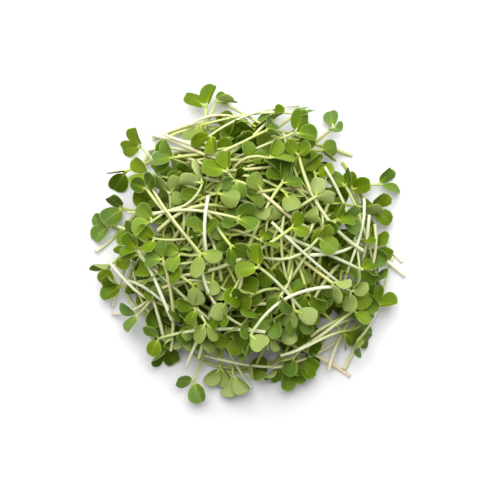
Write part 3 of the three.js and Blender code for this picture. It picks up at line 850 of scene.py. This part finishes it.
class Value:
    """A number that comes out of a node. Arithmetic on it adds Math nodes."""

    def __init__(self, finish, socket):
        self.finish, self.socket = finish, socket

    def __add__(self, other):
        return self.finish.math("ADD", self, other)

    def __sub__(self, other):
        return self.finish.math("SUBTRACT", self, other)

    def __rsub__(self, other):
        return self.finish.math("SUBTRACT", other, self)

    def __mul__(self, other):
        return self.finish.math("MULTIPLY", self, other)

    def __truediv__(self, other):
        return self.finish.math("DIVIDE", self, other)

    def __pow__(self, other):
        return self.finish.math("POWER", self, other)

    __radd__ = __add__
    __rmul__ = __mul__


class Finish:
    """One material and its nodes."""

    def __init__(self, name):
        self.material = bpy.data.materials.new(name)
        self.material.use_nodes = True
        self.tree = self.material.node_tree
        self.shader = self.tree.nodes["Principled BSDF"]

    def node(self, kind, output=0, settings=None, **inputs):
        """Adds a node: its settings first, then its sockets' values or links. Gives one output."""
        made = self.tree.nodes.new(kind)
        for name, value in (settings or {}).items():
            setattr(made, name, value)
        for name, value in inputs.items():
            name = int(name[1:]) if name[0] == "i" and name[1:].isdigit() else name.replace("_", " ")
            self.plug(made.inputs[name], value)
        return Value(self, made.outputs[output])

    def plug(self, socket, value):
        """Links a node's output to a socket, or sets the socket's own value."""
        if isinstance(value, Value):
            self.tree.links.new(value.socket, socket)
        else:
            socket.default_value = value

    def math(self, operation, *values):
        """A Math node on some values."""
        inputs = {f"i{n}": value for n, value in enumerate(values)}
        return self.node("ShaderNodeMath", settings={"operation": operation}, **inputs)

    def mixed(self, share, one, other):
        """A colour between two, by a share from 0 to 1."""
        settings = {"data_type": "RGBA", "clamp_factor": True}
        return self.node("ShaderNodeMix", 2, settings, i0=share, i6=one, i7=other)

    def value(self, name):
        """A value that the mesh holds at each point."""
        return self.node("ShaderNodeAttribute", "Fac", {"attribute_name": name})

    def noise(self, scale, detail=2.0):
        """Noise from 0 to 1 in the object's own space, with scale lumps to a metre."""
        place = self.node("ShaderNodeTexCoord", "Object")
        return self.node("ShaderNodeTexNoise", "Fac", Vector=place, Scale=scale, Detail=detail)

    def set(self, **inputs):
        """Sets or links inputs of the shader, with _ for each space in their names."""
        for name, value in inputs.items():
            self.plug(self.shader.inputs[name.replace("_", " ")], value)


# The colours of a seed leaf: its face from dark to light, its tip and its underside, and then those that
# are mixed over them, among them a painted bluish sheen, a painted highlight on the rim and a painted
# shade.
FACE_DARK = (0.045, 0.09, 0.003, 1)
FACE_GREEN = (0.115, 0.195, 0.004, 1)
FACE_LIGHT = (0.26, 0.35, 0.012, 1)
TIP_DARK = (0.045, 0.095, 0.006, 1)
BACK_DARK = (0.2, 0.28, 0.05, 1)
BACK_LIGHT = (0.38, 0.45, 0.17, 1)
BLUISH_SHEEN = (0.15, 0.26, 0.06, 1)
BASE_GREEN = (0.42, 0.52, 0.02, 1)
VEIN_PALE = (0.42, 0.52, 0.06, 1)
RIM_HIGHLIGHT = (0.42, 0.54, 0.14, 1)
LEAF_PAINTED_SHADE = (0.09, 0.15, 0.001, 1)

# The colours of a stem: from dull to white, and then those that are mixed over them, the last a painted
# shade, darker and yellow-green, for stems shut in by what lies over them.
STEM_DULL = (0.7, 0.72, 0.45, 1)
STEM_WHITE = (0.79, 0.81, 0.69, 1)
PINKISH = (0.74, 0.6, 0.42, 1)
CROWN_GREEN = (0.43, 0.53, 0.035, 1)
CUT_TAN = (0.5, 0.4, 0.24, 1)
STEM_PAINTED_SHADE = (0.42, 0.49, 0.06, 1)

# Lumps to a metre in the mottling of leaves and the streaks of stems, and the depth of their relief.
MOTTLE_SCALE = 420.0
STREAK_SCALE = 260.0
RELIEF_DEPTH = 0.0003

# The midrib: how narrow it is, how fast it fades to the tip, and how pale it is.
MIDRIB_NARROWNESS = 15
MIDRIB_FADE = 1.6
MIDRIB_STRENGTH = 0.4

# The side veins: a wave of this many radians to a leaf's length, which leans away from the midrib and is
# sharpened by a power, and how pale they are.
RIB_WAVE = 28.0
RIB_LEAN = 0.75
RIB_POWER = 14
RIB_STRENGTH = 0.07

# The painted highlight along the rim: the share of the way out at which it starts, and how fast it comes
# up.
RIM_FROM = 0.91
RIM_SHARPNESS = 7


def leaf_finish():
    """Seed leaves: green, each its own shade, paler below, with a pale midrib and side veins, a painted
    highlight along the rim, a painted bluish sheen on some sprouts, and painted shade where shut in.
    """
    leaf = Finish("seed_leaf")
    uv = leaf.node("ShaderNodeUVMap", 0, {"uv_map": "UVMap"})
    parts = leaf.node("ShaderNodeSeparateXYZ", 0, None, Vector=uv)
    across = leaf.math("ABSOLUTE", parts)
    along = Value(leaf, parts.socket.node.outputs[1])
    tint, under, rim = leaf.value("tint"), leaf.value("under"), leaf.value("rim")
    mottle = leaf.noise(MOTTLE_SCALE)

    # The face, darker to the tip and with a painted bluish sheen on some sprouts, and the underside.
    shade = tint + (mottle - 0.5) * 0.25
    lower = leaf.mixed(shade * 2, FACE_DARK, FACE_GREEN)
    face = leaf.mixed(shade * 2 - 1, lower, FACE_LIGHT)
    face = leaf.mixed(along * 0.35, face, TIP_DARK)
    face = leaf.mixed(leaf.value("cast") * 0.75, face, BLUISH_SHEEN)
    back = leaf.mixed(shade, BACK_DARK, BACK_LIGHT)

    # The light green of the base, which fans out along the midrib.
    fan = leaf.math("EXPONENT", (across * 5 / (along + 0.12)) ** 2 * -0.12)
    base = leaf.math("EXPONENT", along * -6) * (0.35 + fan * 0.65)
    green = leaf.mixed(base, leaf.mixed(under, face, back), BASE_GREEN)

    # The midrib and the side veins, a painted highlight along the rim, and painted shade where the leaf is
    # shut in.
    midrib = leaf.math("EXPONENT", (across * MIDRIB_NARROWNESS) ** 2 * -1)
    midrib = midrib * leaf.math("EXPONENT", along * -MIDRIB_FADE)
    ribs = leaf.math("COSINE", (along * 1.1 - across * RIB_LEAN) * RIB_WAVE)
    side_veins = leaf.math("MAXIMUM", ribs, 0.0) ** RIB_POWER * (1 - across)
    veins = (midrib * MIDRIB_STRENGTH + side_veins * RIB_STRENGTH) * (1 - under * 0.5)
    green = leaf.mixed(veins, green, VEIN_PALE)
    # Painted highlight: paler along the rim.
    green = leaf.mixed((rim - RIM_FROM) * RIM_SHARPNESS, green, RIM_HIGHLIGHT)
    green = leaf.mixed(leaf.value("deep") * 0.7, green, LEAF_PAINTED_SHADE)

    # The veins lie a little sunk, and the rest is slightly lumpy.
    relief = mottle * 0.4 - veins * 0.8
    bump = leaf.node("ShaderNodeBump", 0, None, Strength=0.35, Distance=RELIEF_DEPTH, Height=relief)
    leaf.set(Base_Color=green, Roughness=under * 0.15 + mottle * 0.16 + 0.34, Normal=bump)
    leaf.set(Subsurface_Weight=0.18, Subsurface_Radius=(0.7, 1.0, 0.1), Subsurface_Scale=0.0009)
    leaf.set(Specular_IOR_Level=0.1)
    return leaf.material


def stem_finish():
    """Stems and stalks: near white with a green tinge, greener to the crown, tan on the cut, and pinkish on
    some, with painted shade, a darker yellow-green, where they are shut in.
    """
    stem = Finish("pale_stem")
    up, tint, cut = stem.value("up"), stem.value("tint"), stem.value("cut")
    streaks = stem.noise(STREAK_SCALE, 3.0)
    greener = up**4 * 0.8 + (streaks - 0.5) * 0.3 + (0.3 - tint) * 0.25
    pale = stem.mixed(tint, STEM_DULL, STEM_WHITE)
    # A pink blush on some stems; the same value paints a bluish sheen on their leaves.
    pale = stem.mixed(stem.value("cast") * 0.8, pale, PINKISH)
    colour = stem.mixed(greener, pale, CROWN_GREEN)
    colour = stem.mixed(cut * 0.8, colour, CUT_TAN)
    # Painted shade: darker and yellow-green where the stem is shut in by what lies over it.
    colour = stem.mixed(stem.value("deep") * 0.85, colour, STEM_PAINTED_SHADE)
    bump = stem.node("ShaderNodeBump", 0, None, Strength=0.2, Distance=RELIEF_DEPTH, Height=streaks)
    stem.set(Base_Color=colour, Roughness=streaks * 0.2 + 0.28, Normal=bump)
    stem.set(Subsurface_Weight=0.3, Subsurface_Radius=(1.0, 1.0, 0.4), Subsurface_Scale=0.0015)
    stem.set(Specular_IOR_Level=0.25)
    return stem.material


STEM_SLOT, LEAF_SLOT = 0, 1
finishes = [stem_finish(), leaf_finish()]


def dressed(name, sprouts, forms, tints, members, fineness):
    """One piece: the stems, stalks and blades of some of the sprouts."""
    some = sprouts.some(members)
    shapes = forms.some(members)
    stem_tint, leaf_tint, cast = (tint[members].reshape(len(members), -1) for tint in tints)
    plain = {"across": 0.0, "along": 0.0, "rim": 0.0, "under": 0.0}
    skin = Skin()
    points, up, cut, faces = stem_surface(some, shapes.girth, *fineness["stem"])
    skin.add(points, faces, STEM_SLOT, up=up, cut=cut, tint=stem_tint, cast=cast, **plain)
    points, faces = stalk_surface(some, shapes, fineness["stalk"])
    points = points.reshape(-1, points.shape[2], 3)
    stalk_tint = np.repeat(stem_tint, 2, axis=0)
    skin.add(points, faces, STEM_SLOT, up=1.0, cut=0.0, tint=stalk_tint, cast=0.0, **plain)
    points, (along, across), rim, under, faces = blade_surface(some, shapes, *fineness["blade"])
    points = points.reshape(-1, points.shape[2], 3)
    place = {"across": across, "along": along, "rim": rim, "under": under}
    leaf_tint = leaf_tint.reshape(-1, 1)
    # The leaves take the painted sheen of their sprout.
    leaf_sheen = np.repeat(cast, 2, axis=0)
    skin.add(points, faces, LEAF_SLOT, up=1.0, cut=0.0, tint=leaf_tint, cast=leaf_sheen, **place)
    piece = bpy.data.objects.new(name, skin.mesh(name))
    for finish in finishes:
        piece.data.materials.append(finish)
    bpy.context.scene.collection.objects.link(piece)
    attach(piece, "root")
    return piece


# How far a solid blade's upper face stands over the plane through the middle of the leaf.
SOLID_FACE = 0.35


def node_of_each(sprouts):
    """The CAD node that holds each sprout: the one with a corner nearest to the middle of its blades."""
    corners, owners = [], []
    names = sorted(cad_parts)
    for index, name in enumerate(names):
        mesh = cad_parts[name].data
        places = np.empty(3 * len(mesh.vertices))
        mesh.vertices.foreach_get("co", places)
        corners.append(places.reshape(-1, 3) / MM)
        owners.append(np.full(len(mesh.vertices), index))
    corners, owners = np.concatenate(corners) - CENTRE, np.concatenate(owners)
    middle = (PETIOLE + HALF_LENGTH) * sprouts.size[:, None, None] * sprouts.leaves[:, :, 0]
    middle = middle + sprouts.control[:, None, 3] + SOLID_FACE * sprouts.leaves[:, :, 2]
    distance = np.linalg.norm(middle[:, :, None] - corners, axis=3)
    leaf = distance.min(axis=2).argmin(axis=1)
    nearest = distance[np.arange(len(leaf)), leaf].argmin(axis=1)
    return names, owners[nearest]


def all_sprouts():
    """The solids' sprouts, settled, and then the inner ones, settled among them."""
    outer = drawn_sprouts()
    partner = pair_up(outer.control)
    settle(outer, partner, SETTLE_STEPS, np.ones(len(outer.size), bool))
    heap = outer.with_more(inner_sprouts())
    number = len(heap.size)
    settle(heap, np.full(number, -1), INNER_STEPS, np.arange(number) >= len(outer.size))
    return heap, len(outer.size)


def build_heap():
    """Every piece of the heap: one for each CAD node, and a few for the inner sprouts."""
    heap, outer_count = all_sprouts()
    number = len(heap.size)
    forms = LeafForms(number, FORM_SEED)
    rng = np.random.default_rng(TINT_SEED)
    own_shade = rng.normal(MIDDLE_SHADE, SHADE_SPREAD, (number, 1))
    leaf_tint = np.clip(own_shade + rng.normal(0, SHADE_SPREAD_IN_PAIR, (number, 2)), 0, 1)
    # The third tint, for few sprouts: a pink blush on stems and a painted bluish sheen on leaves.
    tints = rng.uniform(0, 1, number), leaf_tint, rng.uniform(0, 1, number) ** 3
    names, owner = node_of_each(heap.some(slice(outer_count)))
    for index, name in enumerate(names):
        members = np.flatnonzero(owner == index)
        piece = dressed("fresh_" + name, heap, forms, tints, members, FINE)
        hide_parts(name)
    turn = np.arctan2(heap.control[:, 3, 1], heap.control[:, 3, 0])
    sector = np.floor((turn / (2 * np.pi) + 0.5) * INNER_PIECES).clip(0, INNER_PIECES - 1)
    for index in range(INNER_PIECES):
        members = np.flatnonzero((sector == index) & (np.arange(number) >= outer_count))
        dressed(f"inner_sprouts_{index + 1}", heap, forms, tints, members, COARSE)


# The camera: straight above, with a view this wide in metres round this place.
FIELD_WIDTH = 0.25
FRAME_MIDDLE = (0.0012, -0.0030)
LENS = 150
SENSOR = 36

# The light: a square key lamp in metres and watts, over the photo's top edge, and an even white sky.
KEY_PLACE = (-0.06, 0.8, 1.15)
KEY_SIZE = 1.5
KEY_WATTS = 36
KEY_AIM = (0, 0, 0.02)
SKY_STRENGTH = 0.45

# The floor: grey-blue, with a painted glow that lifts it to full white away from a painted shadow under the
# heap.
FLOOR_WIDTH = 6.0
FLOOR_COLOUR = (0.77, 0.77, 0.79, 1)
PAINTED_SHADOW_MIDDLE = (0, -0.03, 0)
GLOW_FROM = 0.055
GLOW_TO = 0.13
GLOW_STRENGTH = 0.25
BLACK = (0, 0, 0, 1)
WHITE = (1, 1, 1, 1)


def build_floor():
    """The white surface that the heap lies on: grey-blue in a painted shadow under the heap, and lifted to
    white by a painted glow round it.
    """
    floor = Finish("white_floor")
    floor.set(Base_Color=FLOOR_COLOUR, Roughness=0.7, Specular_IOR_Level=0.2)
    # A painted glow: none within GLOW_FROM of the painted shadow's middle, full beyond GLOW_TO.
    place = floor.node("ShaderNodeTexCoord", "Object")
    away = floor.node("ShaderNodeVectorMath", "Value", {"operation": "DISTANCE"}, i0=place, i1=PAINTED_SHADOW_MIDDLE)
    glow = floor.mixed((away - GLOW_FROM) * (1 / (GLOW_TO - GLOW_FROM)), BLACK, WHITE)
    floor.set(Emission_Color=glow, Emission_Strength=GLOW_STRENGTH)
    half = FLOOR_WIDTH / 2
    corners = [(-half, -half, 0), (half, -half, 0), (half, half, 0), (-half, half, 0)]
    mesh = bpy.data.meshes.new("floor")
    mesh.from_pydata(corners, [], [(0, 1, 2, 3)])
    mesh.materials.append(floor.material)
    plane = bpy.data.objects.new("floor", mesh)
    bpy.context.scene.collection.objects.link(plane)


def add_key_light():
    """A square soft light that faces the middle of the heap."""
    light = bpy.data.lights.new("key", "AREA")
    light.shape, light.size, light.energy = "SQUARE", KEY_SIZE, KEY_WATTS
    lamp = bpy.data.objects.new("key", light)
    back_x, back_y, up = np.array(KEY_PLACE) - np.array(KEY_AIM)
    tilt = math.atan2(math.hypot(back_x, back_y), up)
    lamp.location = KEY_PLACE
    lamp.rotation_euler = (tilt, 0, math.atan2(back_x, -back_y))
    bpy.context.scene.collection.objects.link(lamp)


def build_studio():
    """Soft white light, strongest from the top edge of the photo, and the camera straight above."""
    scene = bpy.context.scene
    scene.view_settings.view_transform = "Standard"
    world = bpy.data.worlds.new("studio")
    world.use_nodes = True
    sky = world.node_tree.nodes["Background"]
    sky.inputs["Color"].default_value = WHITE
    sky.inputs["Strength"].default_value = SKY_STRENGTH
    scene.world = world
    add_key_light()
    camera = bpy.data.cameras.new("camera")
    camera.lens, camera.sensor_width = LENS, SENSOR
    eye = bpy.data.objects.new("camera", camera)
    eye.location = (*FRAME_MIDDLE, FIELD_WIDTH * LENS / SENSOR)
    scene.collection.objects.link(eye)
    scene.camera = eye


build_heap()
build_floor()
build_studio()
